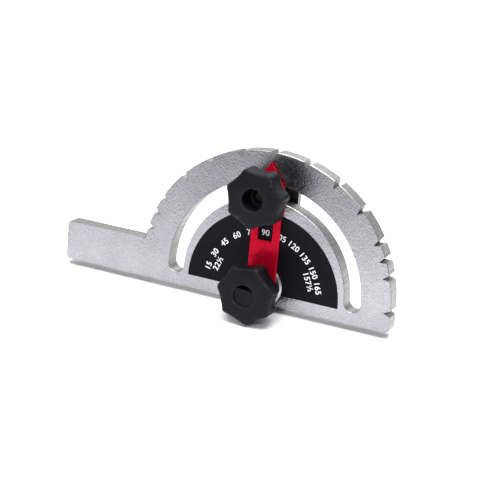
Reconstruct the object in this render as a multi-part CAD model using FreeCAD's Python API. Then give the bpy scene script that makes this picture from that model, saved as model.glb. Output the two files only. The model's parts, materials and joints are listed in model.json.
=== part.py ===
import FreeCAD, Part
import math
import os

# An indexed protractor bevel: a thick steel half-round plate with an arm, a pointer that swings
# about a pivot bolt, and a clamp bolt that runs in the plate's curved slot. A seven-lobed knob
# tightens each bolt. All lengths are in millimetres and all angles in degrees.
#
# The pieces are drawn in the plate's own frame: X to the right along the plate, Y from the front
# face towards the back, Z up the plate, and the pivot axis through the origin. stand_up() then
# leans the whole tool back until it stands on its lower knob and on its rear bar.

# Protractor plate
rim_radius = 80.0
plate_thickness = 10.0
edge_below_pivot = 11.5
arm_reach = 133.5
arm_top = 12.7
arm_corner_chamfer = 1.6
arm_root_fillet = 1.5
plate_corner_radius = 2.5
plate_edge_break = 0.35

# Curved slot and pivot hole
slot_radius = 56.7
slot_width = 10.0
slot_end_deg = 1.0
slot_edge_break = 0.3
pivot_hole_radius = 5.01

# V notches in the rim, at the angles of the scale, counted from the arm
notch_angles = [15, 22.5, 30, 45, 60, 75, 90, 105, 120, 135, 150, 157.5, 165, 180]
notch_depth = 4.6
notch_half_angle = 24.0

# Printed scale label
label_radius = 48.2
label_drop = 3.8
label_thickness = 0.3
label_hole_radius = 5.4

# Pointer: a flat strip whose tip reaches the notches, with a window over the numbers
pointer_half_width = 9.1
pointer_shoulder = 60.5
pointer_tip = 74.6
pointer_thickness = 1.2
pointer_gap = 1.1
pointer_edge_break = 0.25
window_half_width = 4.6
window_low = 27.8
window_high = 39.0

# Rear bar and the black facing on its front
bar_half_width = 13.35
bar_thickness = 4.4
bar_low = -13.8
bar_high = 70.0
bar_corner_radius = 3.0
bar_edge_break = 0.4
facing_thickness = 0.5

# M8 cup square bolts
bolt_radius = 3.95
bolt_end_chamfer = 0.8
bolt_head_radius = 10.3
bolt_head_height = 4.9
neck_side = 8.0
neck_hole_side = 8.2
clearance_hole_radius = 4.2
pivot_bolt_end = 20.0
clamp_bolt_end = 14.0

# Sleeves round the bolts
sleeve_bore_radius = 4.0
pivot_bush_radius = 5.0
slot_sleeve_radius = 4.85
slot_sleeve_end_gap = 0.1

# Washers: a wide one that the pointer turns on, a narrow one that slides along the slot, and plain
# M8 washers under the knobs
turning_washer_radius = 12.9
turning_washer_bevel_width = 1.2
turning_washer_bevel_height = 0.6
sliding_washer_radius = 8.4
washer_radius = 8.0
washer_thickness = 1.6
washer_edge_break = 0.2

# Knobs
knob_lobes = 7
knob_reach = 17.8
knob_face_valley = 16.0
knob_face_lobe_radius = 3.2
knob_back_valley = 15.0
knob_back_lobe_radius = 3.8
knob_face = 25.8
knob_star_height = 13.8
knob_dome_rise = 1.4
knob_face_fillet = 2.0
knob_back_fillet = 2.0
knob_boss_radius = 8.6
knob_shoulder_radius = 11.0
recess_radius = 6.4
recess_depth = 10.4
recess_mouth_fillet = 0.6
insert_radius = 6.0
insert_length = 8.0
insert_bore_radius = 4.0
cap_drop = 1.4
cap_thickness = 1.5
cap_flat_reach = 3.4
cap_flat_deg = 85.0
clamp_knob_lobe_deg = 9.0
pivot_knob_lobe_deg = 18.8

# Clearances
running_gap = 0.05
press_gap = 0.01

# Places that follow from the dimensions above
pointer_back = -pointer_gap
pointer_front = pointer_back - pointer_thickness
washer_front = pointer_front - washer_thickness
facing_front = plate_thickness + running_gap
bar_front = facing_front + facing_thickness
bar_back = bar_front + bar_thickness
knob_back = -knob_face + knob_star_height
FRONT = FreeCAD.Vector(0, -1, 0)
BACK = FreeCAD.Vector(0, 1, 0)


def at(x, y, z):
    return FreeCAD.Vector(x, y, z)


def polar(radius, degrees):
    """The point at a radius and angle about the pivot, counted from +X towards +Z."""
    angle = math.radians(degrees)
    return at(radius * math.cos(angle), 0, radius * math.sin(angle))


def line(start, end):
    return Part.makeLine(start, end)


def arc(start, middle, end):
    return Part.Arc(start, middle, end).toShape()


def polyline(points):
    return [line(start, end) for start, end in zip(points, points[1:])]


def slab(edges, thickness):
    """A flat piece with the outline that the edges make, from their plane towards the back."""
    return Part.Face(Part.Wire(edges)).extrude(BACK * thickness)


def disc(radius, front, back, z=0.0):
    return Part.makeCylinder(radius, back - front, at(0, front, z), BACK)


def ring(outer_radius, inner_radius, front, back, z=0.0):
    return disc(outer_radius, front, back, z).cut(disc(inner_radius, front, back, z))


def outline_edges(shape, y):
    """The edges that lie in one plane parallel to the plate's faces."""
    flat = 1e-4
    return [
        edge for edge in shape.Edges
        if abs(edge.BoundBox.YMin - y) < flat and abs(edge.BoundBox.YMax - y) < flat
    ]


def protractor_plate_blank():
    """The plate's outline: half-round rim, straight lower edge and arm."""
    low = -edge_below_pivot
    round_over = plate_corner_radius
    root_x = -math.sqrt(rim_radius ** 2 - arm_top ** 2)
    corner_middle = round_over * (1 - math.sqrt(0.5))
    corner_start = at(rim_radius - round_over, 0, low)
    corner_end = at(rim_radius, 0, low + round_over)
    lower_run = polyline([
        at(-arm_reach, 0, low + arm_corner_chamfer),
        at(-arm_reach + arm_corner_chamfer, 0, low),
        corner_start,
    ])
    corner = arc(corner_start, at(rim_radius - corner_middle, 0, low + corner_middle), corner_end)
    end_run = line(corner_end, at(rim_radius, 0, 0))
    rim = arc(at(rim_radius, 0, 0), at(0, 0, rim_radius), at(root_x, 0, arm_top))
    arm_run = polyline([
        at(root_x, 0, arm_top),
        at(-arm_reach + arm_corner_chamfer, 0, arm_top),
        at(-arm_reach, 0, arm_top - arm_corner_chamfer),
        at(-arm_reach, 0, low + arm_corner_chamfer),
    ])
    blank = slab(lower_run + [corner, end_run, rim] + arm_run, plate_thickness)
    root_edges = [
        edge for edge in blank.Edges
        if abs(edge.BoundBox.XMin - root_x) < 0.01 and abs(edge.BoundBox.XMax - root_x) < 0.01
    ]
    return blank.makeFillet(arm_root_fillet, root_edges)


def notch_cutter(scale_degrees):
    """A wedge through the plate that leaves one V notch in the rim."""
    overshoot = 1.0
    depth = notch_depth + overshoot
    half_width = depth * math.tan(math.radians(notch_half_angle))
    points = [
        at(rim_radius - notch_depth, -overshoot, 0),
        at(rim_radius + overshoot, -overshoot, half_width),
        at(rim_radius + overshoot, -overshoot, -half_width),
    ]
    wedge = slab(polyline(points + points[:1]), plate_thickness + 2 * overshoot)
    wedge.rotate(at(0, 0, 0), FRONT, 180 - scale_degrees)
    return wedge


def curved_slot():
    """The slot that the clamp bolt runs in, as a solid as thick as the plate."""
    inner = slot_radius - slot_width / 2
    outer = slot_radius + slot_width / 2
    near = slot_end_deg
    far = 180 - slot_end_deg
    end_reach = slot_width / 2
    near_centre = polar(slot_radius, near)
    far_centre = polar(slot_radius, far)
    edges = [
        arc(polar(outer, near), polar(outer, 90), polar(outer, far)),
        arc(polar(outer, far), far_centre + polar(end_reach, far + 90), polar(inner, far)),
        arc(polar(inner, far), polar(inner, 90), polar(inner, near)),
        arc(polar(inner, near), near_centre + polar(end_reach, near - 90), polar(outer, near)),
    ]
    return slab(edges, plate_thickness)


def protractor_plate():
    blank = protractor_plate_blank()
    rims = outline_edges(blank, 0) + outline_edges(blank, plate_thickness)
    plate = blank.makeChamfer(plate_edge_break, rims)
    plate = plate.cut(curved_slot())
    slot_rims = [
        edge for edge in outline_edges(plate, 0) + outline_edges(plate, plate_thickness)
        if edge.BoundBox.ZMax < slot_radius + slot_width and edge.BoundBox.XMin > -slot_radius - slot_width
        and edge.BoundBox.XMax < slot_radius + slot_width
    ]
    plate = plate.makeChamfer(slot_edge_break, slot_rims)
    plate = plate.cut(disc(pivot_hole_radius, 0, plate_thickness))
    return plate.cut([notch_cutter(degrees) for degrees in notch_angles])


def scale_label():
    """The printed half disc: its arc is struck from a point just below the pivot."""
    front = -label_thickness
    left = at(-label_radius, front, -label_drop)
    right = at(label_radius, front, -label_drop)
    top = at(0, front, label_radius - label_drop)
    sheet = slab([line(left, right), arc(right, top, left)], label_thickness)
    return sheet.cut(disc(label_hole_radius, front, 0))


def pointer():
    """A strip with a round lower end about the pivot, a pointed tip and a window."""
    side = pointer_half_width
    front = pointer_front
    body = polyline([
        at(side, front, 0),
        at(side, front, pointer_shoulder),
        at(0, front, pointer_tip),
        at(-side, front, pointer_shoulder),
        at(-side, front, 0),
    ])
    foot = arc(at(-side, front, 0), at(0, front, -side), at(side, front, 0))
    strip = slab(body + [foot], pointer_thickness)
    strip = strip.makeChamfer(pointer_edge_break, outline_edges(strip, front))
    window = Part.makeBox(
        2 * window_half_width, pointer_thickness, window_high - window_low,
        at(-window_half_width, front, window_low),
    )
    holes = [disc(clearance_hole_radius, front, pointer_back, z) for z in (0, slot_radius)]
    return strip.cut([window] + holes)


def rear_bar_outline(front, thickness):
    """The bar's outline, square at its foot and with rounded corners at its top."""
    side = bar_half_width
    bar = Part.makeBox(2 * side, thickness, bar_high - bar_low, at(-side, front, bar_low))
    top_corners = [
        edge for edge in bar.Edges
        if edge.BoundBox.ZMin > bar_high - 0.01 and edge.BoundBox.XLength < 0.01
    ]
    return bar.makeFillet(bar_corner_radius, top_corners)


def rear_bar():
    bar = rear_bar_outline(bar_front, bar_thickness)
    bar = bar.makeChamfer(bar_edge_break, outline_edges(bar, bar_back))
    for z in (0, slot_radius):
        corner = at(-neck_hole_side / 2, bar_front, z - neck_hole_side / 2)
        bar = bar.cut(Part.makeBox(neck_hole_side, bar_thickness, neck_hole_side, corner))
    return bar


def bar_facing():
    facing = rear_bar_outline(facing_front, facing_thickness)
    return facing.cut([disc(clearance_hole_radius, facing_front, bar_front, z) for z in (0, slot_radius)])


def cup_square_bolt(z, end):
    """A bolt from the back: domed head, square neck in the bar, round shank to the front."""
    sphere_radius = (bolt_head_radius ** 2 + bolt_head_height ** 2) / (2 * bolt_head_height)
    sphere_centre = at(0, bar_back + bolt_head_height - sphere_radius, z)
    head = Part.makeSphere(sphere_radius, sphere_centre)
    head = head.common(disc(bolt_head_radius, bar_back, bar_back + bolt_head_height, z))
    neck_corner = at(-neck_side / 2, bar_front, z - neck_side / 2)
    neck = Part.makeBox(neck_side, bar_thickness, neck_side, neck_corner)
    shank = disc(bolt_radius, -end + bolt_end_chamfer, bar_front, z)
    tip = Part.makeCone(
        bolt_radius - bolt_end_chamfer, bolt_radius, bolt_end_chamfer, at(0, -end, z), BACK)
    return head.fuse([neck, shank, tip]).removeSplitter()


def turning_washer():
    """A wide washer with a bevelled rim, between the label and the pointer."""
    bevel_back = pointer_back + turning_washer_bevel_height
    bevel = Part.makeCone(
        turning_washer_radius - turning_washer_bevel_width, turning_washer_radius,
        turning_washer_bevel_height, at(0, pointer_back, 0), BACK)
    rim = disc(turning_washer_radius, bevel_back, -label_thickness - running_gap)
    hole = disc(clearance_hole_radius, pointer_back, -label_thickness - running_gap)
    return bevel.fuse(rim).removeSplitter().cut(hole)


def steel_washer(z):
    plain = ring(washer_radius, clearance_hole_radius, washer_front, pointer_front, z)
    rims = [edge for edge in outline_edges(plain, washer_front) if edge.BoundBox.XMax > washer_radius - 0.1]
    return plain.makeChamfer(washer_edge_break, rims)


def knob_star_outline(first_lobe_deg, valley, lobe_radius, y):
    """Seven round lobes joined by hollow flutes, each arc tangent to the next."""
    half_pitch = 180.0 / knob_lobes
    lobe_centre = knob_reach - lobe_radius
    along = lobe_centre * math.cos(math.radians(half_pitch))
    flute_radius = (
        (valley ** 2 + lobe_centre ** 2 - 2 * valley * along - lobe_radius ** 2)
        / (2 * (lobe_radius + along - valley))
    )
    flute_centre = valley + flute_radius
    share = lobe_radius / (lobe_radius + flute_radius)
    edges = []
    for lobe in range(knob_lobes):
        middle = first_lobe_deg + 2 * half_pitch * lobe
        tip = polar(lobe_centre, middle)
        before = tip + (polar(flute_centre, middle - half_pitch) - tip) * share
        after = tip + (polar(flute_centre, middle + half_pitch) - tip) * share
        next_tip = polar(lobe_centre, middle + 2 * half_pitch)
        next_before = next_tip + (polar(flute_centre, middle + half_pitch) - next_tip) * share
        edges.append(arc(before, polar(knob_reach, middle), after))
        edges.append(arc(after, polar(valley, middle + half_pitch), next_before))
    outline = Part.Wire(edges)
    outline.translate(at(0, y, 0))
    return outline


def knob_star(first_lobe_deg):
    """The lobed part of the grip: flutes deeper at the back, a slightly domed face, rounded rims."""
    face = knob_star_outline(first_lobe_deg, knob_face_valley, knob_face_lobe_radius, -knob_face)
    back = knob_star_outline(first_lobe_deg, knob_back_valley, knob_back_lobe_radius, knob_back)
    star = Part.makeLoft([face, back], True, True)
    dome_radius = (knob_reach ** 2 + knob_dome_rise ** 2) / (2 * knob_dome_rise)
    star = star.common(Part.makeSphere(dome_radius, at(0, dome_radius - knob_face, 0)))
    star = star.makeFillet(knob_back_fillet, outline_edges(star, knob_back))
    face_rim = [
        edge for edge in star.Edges if edge.BoundBox.YMax < -knob_face + 2 * knob_dome_rise]
    return star.makeFillet(knob_face_fillet, face_rim)


def knob(z, first_lobe_deg):
    """A lobed grip on a round boss, with a recess in its face and a pocket for its insert."""
    star = knob_star(first_lobe_deg)
    boss_height = washer_front - knob_back
    boss = Part.makeCone(
        knob_shoulder_radius, knob_boss_radius, boss_height, at(0, knob_back, 0), BACK)
    grip = star.fuse(boss)
    grip = grip.cut(disc(recess_radius, -knob_face, -knob_face + recess_depth))
    mouth = [
        edge for edge in grip.Edges
        if edge.BoundBox.YMax < -knob_face + knob_dome_rise and edge.BoundBox.XMax < recess_radius + 0.1]
    grip = grip.makeFillet(recess_mouth_fillet, mouth)
    pocket = disc(insert_radius + press_gap, washer_front - insert_length, washer_front)
    through = disc(clearance_hole_radius, -knob_face, washer_front)
    grip = grip.cut([pocket, through])
    grip.translate(at(0, 0, z))
    return grip


def knob_insert(z):
    return ring(insert_radius, insert_bore_radius, washer_front - insert_length, washer_front, z)


def knob_cap():
    """A cap pressed into a knob's recess, with a flat on one side where it is pried out."""
    front = -knob_face + cap_drop
    cap = disc(recess_radius - press_gap, front, front + cap_thickness)
    beyond_flat = Part.makeBox(
        2 * recess_radius, cap_thickness, recess_radius, at(-recess_radius, front, cap_flat_reach))
    beyond_flat.rotate(at(0, 0, 0), FRONT, cap_flat_deg - 90)
    return cap.cut(beyond_flat)


def make_pieces():
    """Every piece of the tool, by name, in the plate's own frame."""
    return {
        "protractor_plate": protractor_plate(),
        "scale_label": scale_label(),
        "pivot_bush": ring(pivot_bush_radius, sleeve_bore_radius, 0, plate_thickness),
        "pointer": pointer(),
        "rear_bar": rear_bar(),
        "bar_facing": bar_facing(),
        "slot_sleeve": ring(
            slot_sleeve_radius, sleeve_bore_radius,
            slot_sleeve_end_gap, plate_thickness - slot_sleeve_end_gap, slot_radius),
        "turning_washer": turning_washer(),
        "sliding_washer": ring(
            sliding_washer_radius, clearance_hole_radius, pointer_back, -running_gap, slot_radius),
        "pivot_bolt": cup_square_bolt(0, pivot_bolt_end),
        "clamp_bolt": cup_square_bolt(slot_radius, clamp_bolt_end),
        "pivot_washer": steel_washer(0),
        "clamp_washer": steel_washer(slot_radius),
        "pivot_knob": knob(0, pivot_knob_lobe_deg),
        "clamp_knob": knob(slot_radius, clamp_knob_lobe_deg),
        "pivot_knob_insert": knob_insert(0),
        "clamp_knob_insert": knob_insert(slot_radius),
        "pivot_knob_cap": knob_cap(),
    }


def lean_back(shape, lean_deg):
    leaned = shape.copy()
    leaned.rotate(at(0, 0, 0), at(1, 0, 0), -lean_deg)
    return leaned


def tight_box(shape):
    return shape.optimalBoundingBox(False, False)


def standing_lean(lower_knob, bar):
    """The lean at which the lower knob and the rear bar's square foot are equally low."""
    upright = 0.0
    too_far = 30.0
    halvings = 24
    for _ in range(halvings):
        lean_deg = (upright + too_far) / 2
        foot_low = tight_box(lean_back(bar, lean_deg)).ZMin
        if foot_low > tight_box(lean_back(lower_knob, lean_deg)).ZMin:
            upright = lean_deg
        else:
            too_far = lean_deg
    return lean_deg


def standing_placement(pieces):
    """The lean, and the move that puts the origin at the centre of the tool's footprint box."""
    lean_deg = standing_lean(pieces["pivot_knob"], pieces["rear_bar"])
    box = tight_box(Part.makeCompound([lean_back(shape, lean_deg) for shape in pieces.values()]))
    centre_x = (box.XMin + box.XMax) / 2
    centre_y = (box.YMin + box.YMax) / 2
    return lean_deg, at(-centre_x, -centre_y, -box.ZMin)


def stand_up(shape, lean_deg, shift):
    standing = lean_back(shape, lean_deg)
    standing.translate(shift)
    return standing


pieces = make_pieces()
lean_deg, shift = standing_placement(pieces)
os.makedirs("parts", exist_ok=True)
for name, shape in pieces.items():
    stand_up(shape, lean_deg, shift).exportStep("parts/" + name + ".step")
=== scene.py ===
import json
import math

import bmesh
import bpy
from mathutils import Matrix, Quaternion, Vector


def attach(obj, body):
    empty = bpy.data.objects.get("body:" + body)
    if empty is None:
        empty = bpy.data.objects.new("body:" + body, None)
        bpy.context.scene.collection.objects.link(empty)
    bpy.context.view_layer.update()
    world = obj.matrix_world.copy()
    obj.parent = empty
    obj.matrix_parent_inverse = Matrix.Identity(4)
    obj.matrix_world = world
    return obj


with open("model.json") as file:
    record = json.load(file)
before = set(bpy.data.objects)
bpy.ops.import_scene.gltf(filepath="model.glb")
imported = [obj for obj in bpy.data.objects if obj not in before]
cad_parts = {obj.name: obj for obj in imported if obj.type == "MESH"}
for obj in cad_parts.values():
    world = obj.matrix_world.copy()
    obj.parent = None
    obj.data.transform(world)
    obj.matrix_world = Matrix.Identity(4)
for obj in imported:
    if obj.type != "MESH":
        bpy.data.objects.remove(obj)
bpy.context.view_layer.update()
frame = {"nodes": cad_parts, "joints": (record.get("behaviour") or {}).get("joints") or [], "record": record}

# The looks of an indexed protractor bevel. Lengths are in metres. The plate's own frame has its
# origin on the pivot axis at the plate's front face, X to the right, Y towards the back and Z up
# the plate, which leans back a little.
MM = 0.001

nodes = frame["nodes"]
swing = next(joint for joint in frame["joints"] if joint["name"] == "pointer_swing")
pivot = Vector(swing["pos_m"])
front = Vector(swing["axis"]).normalized()
right = Vector((1, 0, 0))
up = front.cross(right)
plate_frame = Matrix.Translation(pivot) @ Matrix((right, -front, up)).transposed().to_4x4()
into_plate_frame = plate_frame.inverted()


def plate_box(node):
    """The lowest and highest corner of a CAD node in the plate's own frame."""
    points = [into_plate_frame @ vertex.co for vertex in nodes[node].data.vertices]
    low = Vector([min(point[axis] for point in points) for axis in range(3)])
    high = Vector([max(point[axis] for point in points) for axis in range(3)])
    return low, high


# ---------------------------------------------------------------- node helpers

# The Mix node has one set of sockets for each kind of value: its two inputs, and its output.
NUMBER_SOCKETS = (2, 3, 0)
COLOR_SOCKETS = (6, 7, 2)

# A noise texture seldom leaves this range.
NOISE_LOW = 0.3
NOISE_HIGH = 0.7


class Shader:
    """A node material under construction, with short calls for the nodes used here."""

    def __init__(self, name):
        self.material = bpy.data.materials.new(name)
        self.material.use_nodes = True
        self.tree = self.material.node_tree
        self.bsdf = self.tree.nodes["Principled BSDF"]
        coordinates = self.add("ShaderNodeTexCoord")
        self.place = coordinates.outputs["Object"]
        self.normal = coordinates.outputs["Normal"]

    def add(self, kind, **settings):
        node = self.tree.nodes.new(kind)
        for key, value in settings.items():
            setattr(node, key, value)
        return node

    def put(self, socket, value):
        """Links an output to the socket, or sets the socket's own number or colour."""
        if isinstance(value, bpy.types.NodeSocket):
            self.tree.links.new(value, socket)
        else:
            socket.default_value = value

    def surface(self, **values):
        """Fills in the surface shader by the short names below, and gives the finished material."""
        names = {
            "color": "Base Color", "metallic": "Metallic", "roughness": "Roughness",
            "normal": "Normal", "coat": "Coat Weight", "coat_roughness": "Coat Roughness",
            "specular": "Specular IOR Level",
        }
        for key, value in values.items():
            self.put(self.bsdf.inputs[names[key]], value)
        return self.material

    def noise(self, scale, detail=3.0, roughness=0.55, place=None):
        node = self.add("ShaderNodeTexNoise")
        self.put(node.inputs["Vector"], self.place if place is None else place)
        self.put(node.inputs["Scale"], scale)
        self.put(node.inputs["Detail"], detail)
        self.put(node.inputs["Roughness"], roughness)
        return node.outputs["Fac"]

    def stretched(self, factors, turn_deg):
        """Object coordinates turned about X and scaled, for grain that runs one way."""
        node = self.add("ShaderNodeMapping")
        self.put(node.inputs["Vector"], self.place)
        node.inputs["Rotation"].default_value = (math.radians(turn_deg), 0, 0)
        node.inputs["Scale"].default_value = factors
        return node.outputs["Vector"]

    def spread(self, value, low, high, new_low=0.0, new_high=1.0):
        """Maps low..high to new_low..new_high and holds it there."""
        node = self.add("ShaderNodeMapRange", clamp=True)
        ends = {"From Min": low, "From Max": high, "To Min": new_low, "To Max": new_high}
        for name, number in ends.items():
            self.put(node.inputs[name], number)
        self.put(node.inputs["Value"], value)
        return node.outputs["Result"]

    def vary(self, noise, new_low=0.0, new_high=1.0):
        """Goes from new_low to new_high over the range that a noise mostly keeps to."""
        return self.spread(noise, NOISE_LOW, NOISE_HIGH, new_low, new_high)

    def sum(self, first, second, operation="ADD"):
        node = self.add("ShaderNodeMath", operation=operation)
        self.put(node.inputs[0], first)
        self.put(node.inputs[1], second)
        return node.outputs[0]

    def blend(self, share, first, second, data_type, sockets):
        """Goes from the first value to the second as the share goes from 0 to 1."""
        node = self.add("ShaderNodeMix", data_type=data_type)
        self.put(node.inputs[0], share)
        self.put(node.inputs[sockets[0]], first)
        self.put(node.inputs[sockets[1]], second)
        return node.outputs[sockets[2]]

    def mix(self, share, first, second):
        return self.blend(share, first, second, "RGBA", COLOR_SOCKETS)

    def mix_numbers(self, share, first, second):
        return self.blend(share, first, second, "FLOAT", NUMBER_SOCKETS)

    def bump(self, height, depth, strength=1.0, over=None):
        """Raises the surface by up to depth, on top of another bump if one is given."""
        node = self.add("ShaderNodeBump")
        self.put(node.inputs["Height"], height)
        self.put(node.inputs["Distance"], depth)
        self.put(node.inputs["Strength"], strength)
        if over is not None:
            self.put(node.inputs["Normal"], over)
        return node.outputs["Normal"]

    def facing(self, direction):
        """How far a surface faces along a direction, either way, from 0 to 1."""
        dot = self.add("ShaderNodeVectorMath", operation="DOT_PRODUCT")
        self.put(dot.inputs[0], self.normal)
        dot.inputs[1].default_value = direction
        size = self.add("ShaderNodeMath", operation="ABSOLUTE")
        self.put(size.inputs[0], dot.outputs["Value"])
        return size.outputs[0]


def grey(value):
    return (value, value, value, 1.0)


# ---------------------------------------------------------------- materials

LEAN_DEG = math.degrees(math.atan2(up.y, up.z))

# The darker and the paler colour that each surface varies between.
COLORS = {
    "zinc_face": ((0.29, 0.288, 0.305, 1.0), (0.40, 0.398, 0.418, 1.0)),
    "zinc_edge": ((0.22, 0.222, 0.208, 1.0), (0.32, 0.322, 0.305, 1.0)),
    "label": ((0.0034, 0.0031, 0.0043, 1.0), (0.006, 0.0055, 0.0073, 1.0)),
    "number": ((0.62, 0.62, 0.66, 1.0), (0.86, 0.86, 0.88, 1.0)),
    "red": ((0.44, 0.001, 0.014, 1.0), (0.51, 0.002, 0.024, 1.0)),
    "bar": ((0.10, 0.10, 0.105, 1.0), (0.21, 0.21, 0.22, 1.0)),
    # The facing's near-black is partly painted shade: it gives the deep shade on the bar's front face seen
    # through the slot.
    "facing": ((0.008, 0.008, 0.009, 1.0), (0.022, 0.022, 0.024, 1.0)),
    "nylon": ((0.62, 0.61, 0.56, 1.0), (0.74, 0.73, 0.68, 1.0)),
    "knob": ((0.0032, 0.0028, 0.0042, 1.0), (0.0056, 0.0051, 0.0070, 1.0)),
    "floor": ((0.86, 0.86, 0.88, 1.0), (0.88, 0.88, 0.895, 1.0)),
    "brass": ((0.58, 0.40, 0.17, 1.0), (0.74, 0.55, 0.27, 1.0)),
    "sleeve_steel": (grey(0.45), grey(0.62)),
    "black_oxide_steel": (grey(0.02), grey(0.045)),
    "bright_steel": (grey(0.36), grey(0.46)),
}
RUBBED_KNOB_COLOR = (0.035, 0.034, 0.038, 1.0)


def zinc_plated_steel():
    """Rolled plate with a bright zinc finish: finely grained broad faces, duller streaked cut edges."""
    s = Shader("zinc_plated_steel")
    broad = s.noise(22.0, 4.0, 0.6)
    mottle = s.noise(420.0, 3.0, 0.6)
    grain = s.noise(850.0, 3.0, 0.65)
    face_tone = s.sum(s.vary(mottle, -0.2, 0.2), s.spread(broad, 0.35, 0.65, -0.3, 0.3))
    face_color = s.mix(s.spread(face_tone, -0.5, 0.5), *COLORS["zinc_face"])
    streaks = s.noise(60.0, 4.0, 0.65, place=s.stretched((14.0, 0.6, 14.0), LEAN_DEG))
    edge_color = s.mix(s.spread(streaks, 0.35, 0.65), *COLORS["zinc_edge"])
    face_share = s.spread(s.facing(tuple(front)), 0.85, 0.97)
    color = s.mix(face_share, edge_color, face_color)
    face_rough = s.vary(mottle, 0.22, 0.29)
    edge_rough = s.spread(streaks, 0.35, 0.65, 0.5, 0.38)
    rough = s.mix_numbers(face_share, edge_rough, face_rough)
    grained = s.bump(grain, 0.15 * MM, 1.0)
    cut = s.bump(streaks, 0.05 * MM, 0.5, over=grained)
    return s.surface(color=color, metallic=1.0, roughness=rough, normal=cut)


def label_black():
    s = Shader("label_black")
    specks = s.noise(2600.0, 2.0, 0.5)
    smears = s.noise(45.0, 4.0, 0.6)
    color = s.mix(s.vary(smears), *COLORS["label"])
    rough = s.vary(smears, 0.42, 0.55)
    return s.surface(color=color, roughness=rough, specular=0.07, normal=s.bump(specks, 0.008 * MM, 0.5))


def number_white():
    s = Shader("number_white")
    wear = s.noise(1800.0, 3.0, 0.7)
    color = s.mix(s.spread(wear, 0.3, 0.55), *COLORS["number"])
    return s.surface(color=color, roughness=0.5, normal=s.bump(wear, 0.01 * MM, 0.4))


def red_paint():
    """Metallic red lacquer over sheet steel, with a faint orange-peel ripple."""
    s = Shader("red_paint")
    depth = s.noise(70.0, 3.0, 0.5)
    peel = s.noise(700.0, 2.0, 0.5)
    color = s.mix(s.vary(depth), *COLORS["red"])
    rough = s.spread(s.noise(160.0, 4.0, 0.6), 0.35, 0.65, 0.24, 0.34)
    return s.surface(
        color=color, metallic=0.4, roughness=rough, specular=0.05, coat=0.02, coat_roughness=0.1,
        normal=s.bump(peel, 0.02 * MM, 0.35))


def bar_steel():
    s = Shader("bar_steel")
    scratches = s.noise(260.0, 4.0, 0.7, place=s.stretched((9.0, 9.0, 0.5), LEAN_DEG))
    stain = s.noise(60.0, 5.0, 0.6)
    tone = s.sum(s.vary(scratches, 0.0, 0.6), s.vary(stain, 0.0, 0.4))
    color = s.mix(tone, *COLORS["bar"])
    rough = s.vary(stain, 0.33, 0.5)
    return s.surface(color=color, metallic=1.0, roughness=rough, normal=s.bump(scratches, 0.03 * MM, 0.5))


# Painted shade in part: this near-black sheet on the bar's front face gives the deep black seen through the
# slot, besides a dark pad's own colour.
def facing_black():
    s = Shader("facing_black")
    fibre = s.noise(900.0, 4.0, 0.7)
    color = s.mix(s.vary(fibre), *COLORS["facing"])
    return s.surface(color=color, roughness=0.85, specular=0.2, normal=s.bump(fibre, 0.05 * MM, 0.6))


def turned_metal(name, low_rough, high_rough):
    """A lathe-turned or plated fastener metal with fine variation."""
    s = Shader(name)
    rings = s.noise(1400.0, 3.0, 0.6)
    cloud = s.noise(180.0, 4.0, 0.6)
    color = s.mix(s.vary(cloud), *COLORS[name])
    rough = s.vary(cloud, low_rough, high_rough)
    return s.surface(color=color, metallic=1.0, roughness=rough, normal=s.bump(rings, 0.012 * MM, 0.45))


def glide_nylon():
    s = Shader("glide_nylon")
    cloud = s.noise(300.0, 3.0, 0.5)
    color = s.mix(s.vary(cloud), *COLORS["nylon"])
    return s.surface(color=color, roughness=0.55, normal=s.bump(cloud, 0.02 * MM, 0.4))


def knob_plastic(name, rubbed_edges):
    """Black moulded nylon with a fine spark texture. On the knobs the edges are rubbed a little paler."""
    s = Shader(name)
    spark = s.noise(2300.0, 3.0, 0.65)
    handled = s.noise(110.0, 5.0, 0.6)
    color = s.mix(s.vary(handled), *COLORS["knob"])
    if rubbed_edges:
        pointy = s.add("ShaderNodeNewGeometry").outputs["Pointiness"]
        rubbed = s.spread(pointy, 0.505, 0.56)
        rubbed = s.sum(rubbed, s.spread(handled, 0.35, 0.7, 0.3, 1.0), "MULTIPLY")
        color = s.mix(rubbed, color, RUBBED_KNOB_COLOR)
    rough = s.vary(handled, 0.42, 0.56)
    return s.surface(color=color, roughness=rough, specular=0.12, normal=s.bump(spark, 0.025 * MM, 0.6))


def floor_white():
    s = Shader("floor_white")
    paper = s.noise(600.0, 3.0, 0.6)
    color = s.mix(s.vary(s.noise(2.0)), *COLORS["floor"])
    return s.surface(color=color, roughness=0.6, specular=0.2, normal=s.bump(paper, 0.02 * MM, 0.2))


materials = {
    "zinc_plated_steel": zinc_plated_steel(),
    "label_black": label_black(),
    "brass": turned_metal("brass", 0.22, 0.36),
    "red_paint": red_paint(),
    "bar_steel": bar_steel(),
    "facing_black": facing_black(),
    "sleeve_steel": turned_metal("sleeve_steel", 0.25, 0.4),
    "glide_nylon": glide_nylon(),
    "black_oxide_steel": turned_metal("black_oxide_steel", 0.35, 0.5),
    "bright_steel": turned_metal("bright_steel", 0.24, 0.36),
    "knob_plastic": knob_plastic("knob_plastic", True),
}

# Pieces that hands don't rub.
sheltered = {"pivot_knob_cap": knob_plastic("knob_cap_plastic", False)}


def dress_cad_nodes():
    """Gives every CAD node the material of its slot in the record, unworn where the piece is sheltered."""
    for subpart in frame["record"]["subparts"]:
        piece = nodes[subpart["node"]]
        piece.data.materials.clear()
        piece.data.materials.append(sheltered.get(subpart["node"], materials[subpart["material_slot"]]))


dress_cad_nodes()


# ---------------------------------------------------------------- printed numbers

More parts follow.
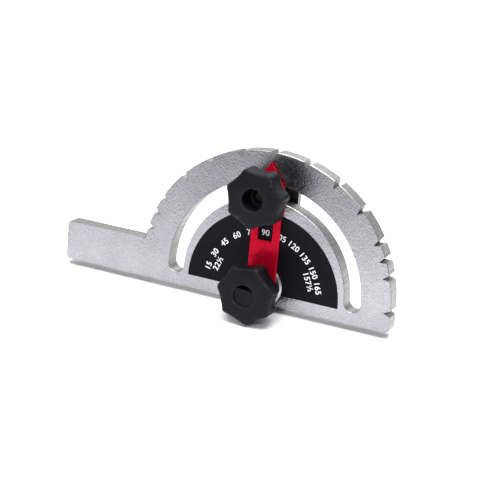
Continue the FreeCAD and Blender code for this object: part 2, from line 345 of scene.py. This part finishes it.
NUMBER_HEIGHT = 3.5 * MM
NUMBER_PROUD = 0.03 * MM
NUMBER_WIDENING = 0.055 * MM
NUMBER_SPACING = 1.06
CAPITAL_HEIGHT = 0.7
NUMBER_CIRCLE_CENTRE = Vector((0.1 * MM, 0, -4.2 * MM))
NUMBER_TURN_DEG = 1.0
WELD_DISTANCE = 0.001 * MM
OUTER_ROW_RADIUS = 36.1 * MM
INNER_ROW_RADIUS = 31.1 * MM
OUTER_ROW = [15, 30, 45, 60, 75, 90, 105, 120, 135, 150, 165]
INNER_ROW = [22.5, 157.5]


def number_text(value):
    whole = int(value)
    return str(whole) + ("½" if value > whole else "")


def embolden(shape, amount):
    """Moves the outline of a flat shape in the XY plane outwards, to make its strokes wider."""
    shift = {vertex: Vector() for vertex in shape.verts}
    for edge in shape.edges:
        if not edge.is_boundary:
            continue
        along = edge.verts[1].co - edge.verts[0].co
        outward = Vector((along.y, -along.x, 0)).normalized()
        if outward.dot(edge.link_faces[0].calc_center_median() - edge.verts[0].co) > 0:
            outward.negate()
        for vertex in edge.verts:
            shift[vertex] += outward
    for vertex, move in shift.items():
        if move.length > 0:
            vertex.co += move * (2 * amount / max(move.length_squared, 1.0))


def number_mesh(value, radius, face_y):
    """One number, upright at the top of the scale and turned with its angle elsewhere."""
    curve = bpy.data.curves.new("number", "FONT")
    curve.body = number_text(value)
    curve.align_x = "CENTER"
    curve.align_y = "CENTER"
    curve.size = NUMBER_HEIGHT / CAPITAL_HEIGHT
    curve.space_character = NUMBER_SPACING
    text = bpy.data.objects.new("number", curve)
    bpy.context.scene.collection.objects.link(text)
    bpy.context.view_layer.update()
    mesh = bpy.data.meshes.new_from_object(text.evaluated_get(bpy.context.evaluated_depsgraph_get()))
    bpy.data.objects.remove(text)
    shape = bmesh.new()
    shape.from_mesh(mesh)
    bmesh.ops.remove_doubles(shape, verts=shape.verts[:], dist=WELD_DISTANCE)
    embolden(shape, NUMBER_WIDENING)
    raised = bmesh.ops.extrude_face_region(shape, geom=shape.faces[:])
    for item in raised["geom"]:
        if isinstance(item, bmesh.types.BMVert):
            item.co.z += NUMBER_PROUD
    bmesh.ops.recalc_face_normals(shape, faces=shape.faces[:])
    shape.to_mesh(mesh)
    shape.free()
    angle = math.radians(value - NUMBER_TURN_DEG)
    outward = Vector((-math.cos(angle), 0, math.sin(angle)))
    along = Vector((math.sin(angle), 0, math.cos(angle)))
    facing = Vector((0, -1, 0))
    turn = Matrix((along, outward, facing)).transposed().to_4x4()
    middle = NUMBER_CIRCLE_CENTRE + outward * radius + Vector((0, face_y, 0))
    mesh.transform(plate_frame @ Matrix.Translation(middle) @ turn)
    return mesh


def scale_numbers():
    label_face = plate_box("scale_label")[0].y
    joined = bmesh.new()
    for row, radius in ((OUTER_ROW, OUTER_ROW_RADIUS), (INNER_ROW, INNER_ROW_RADIUS)):
        for value in row:
            mesh = number_mesh(value, radius, label_face)
            joined.from_mesh(mesh)
            bpy.data.meshes.remove(mesh)
    mesh = bpy.data.meshes.new("scale_numbers")
    joined.to_mesh(mesh)
    joined.free()
    mesh.materials.clear()
    mesh.materials.append(number_white())
    numbers = bpy.data.objects.new("scale_numbers", mesh)
    bpy.context.scene.collection.objects.link(numbers)
    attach(numbers, "plate")


scale_numbers()


# ---------------------------------------------------------------- floor, light and camera

FLOOR_HALF_SIDE = 3.0

# Area lights: where each stands, what it points at, its width and height in metres, its power in watts.
SOFTBOXES = {
    "top": ((0.05, -0.14, 0.68), (0, -0.02, 0), (0.5, 0.4), 7.5),
    "backdrop": ((0.1, 1.0, 1.3), (0, 0.85, 0), (1.6, 0.9), 32.0),
}

# A soft round lamp that lights the tool and the floor near it, fading towards its rim.
LAMP_PLACE = (0.12, -0.85, 0.58)
LAMP_TARGET = (0, 0, 0.03)
LAMP_CONE_DEG = 36.0
LAMP_RADIUS = 0.12
LAMP_POWER = 15.0

# The white room: bright above and behind the tool, dim in front of it and to its right.
ROOM_COLOR = (0.93, 0.94, 1.0, 1.0)
ROOM_BRIGHT_SIDE = (-0.35, 0.75, 0.56)
ROOM_DIM_FROM = -0.45
ROOM_BRIGHT_FROM = 0.75
ROOM_DIM = 0.05
ROOM_BRIGHT = 0.75


def add_floor():
    half = FLOOR_HALF_SIDE
    mesh = bpy.data.meshes.new("floor")
    mesh.from_pydata(
        [(-half, -half, 0), (half, -half, 0), (half, half, 0), (-half, half, 0)], [], [(0, 1, 2, 3)])
    mesh.materials.append(floor_white())
    floor = bpy.data.objects.new("floor", mesh)
    bpy.context.scene.collection.objects.link(floor)


def hang_light(light, place, target):
    lamp = bpy.data.objects.new(light.name, light)
    lamp.location = place
    lamp.rotation_euler = (Vector(target) - Vector(place)).to_track_quat("-Z", "Y").to_euler()
    bpy.context.scene.collection.objects.link(lamp)


def add_softboxes():
    for name, (place, target, size, power) in SOFTBOXES.items():
        light = bpy.data.lights.new(name, "AREA")
        light.shape = "RECTANGLE"
        light.size, light.size_y = size
        light.energy = power
        hang_light(light, place, target)


def add_front_lamp():
    light = bpy.data.lights.new("front", "SPOT")
    light.energy = LAMP_POWER
    light.shadow_soft_size = LAMP_RADIUS
    light.spot_size = math.radians(LAMP_CONE_DEG)
    light.spot_blend = 1.0
    hang_light(light, LAMP_PLACE, LAMP_TARGET)


def add_world():
    world = bpy.data.worlds.new("studio")
    world.use_nodes = True
    tree = world.node_tree
    background = tree.nodes["Background"]
    direction = tree.nodes.new("ShaderNodeTexCoord").outputs["Generated"]
    toward_light = tree.nodes.new("ShaderNodeVectorMath")
    toward_light.operation = "DOT_PRODUCT"
    toward_light.inputs[1].default_value = ROOM_BRIGHT_SIDE
    tree.links.new(direction, toward_light.inputs[0])
    ramp = tree.nodes.new("ShaderNodeMapRange")
    ends = {
        "From Min": ROOM_DIM_FROM, "From Max": ROOM_BRIGHT_FROM, "To Min": ROOM_DIM, "To Max": ROOM_BRIGHT,
    }
    for name, number in ends.items():
        ramp.inputs[name].default_value = number
    tree.links.new(toward_light.outputs["Value"], ramp.inputs["Value"])
    tree.links.new(ramp.outputs["Result"], background.inputs["Strength"])
    background.inputs["Color"].default_value = ROOM_COLOR
    bpy.context.scene.world = world


CAMERA_AZIMUTH_DEG = 25.21
CAMERA_ELEVATION_DEG = 23.81
CAMERA_ROLL_DEG = 1.68
CAMERA_DISTANCE = 0.8319
CAMERA_LENS = 106.75
CAMERA_SENSOR = 36.0
CAMERA_NEAREST = 0.02
CAMERA_FARTHEST = 20.0
CAMERA_AIM = Vector((-16.4 * MM, 0, 24.2 * MM))


def add_camera():
    azimuth = math.radians(CAMERA_AZIMUTH_DEG)
    elevation = math.radians(CAMERA_ELEVATION_DEG)
    target = plate_frame @ CAMERA_AIM
    away = Vector((
        math.sin(azimuth) * math.cos(elevation),
        -math.cos(azimuth) * math.cos(elevation),
        math.sin(elevation),
    ))
    data = bpy.data.cameras.new("camera")
    data.lens = CAMERA_LENS
    data.sensor_width = CAMERA_SENSOR
    data.clip_start = CAMERA_NEAREST
    data.clip_end = CAMERA_FARTHEST
    camera = bpy.data.objects.new("camera", data)
    camera.location = target + away * CAMERA_DISTANCE
    level = (-away).to_track_quat("-Z", "Y")
    roll = Quaternion((0, 0, 1), math.radians(CAMERA_ROLL_DEG))
    camera.rotation_euler = (level @ roll).to_euler()
    bpy.context.scene.collection.objects.link(camera)
    bpy.context.scene.camera = camera


add_floor()
add_world()
add_softboxes()
add_front_lamp()
add_camera()
bpy.context.scene.view_settings.view_transform = "Standard"
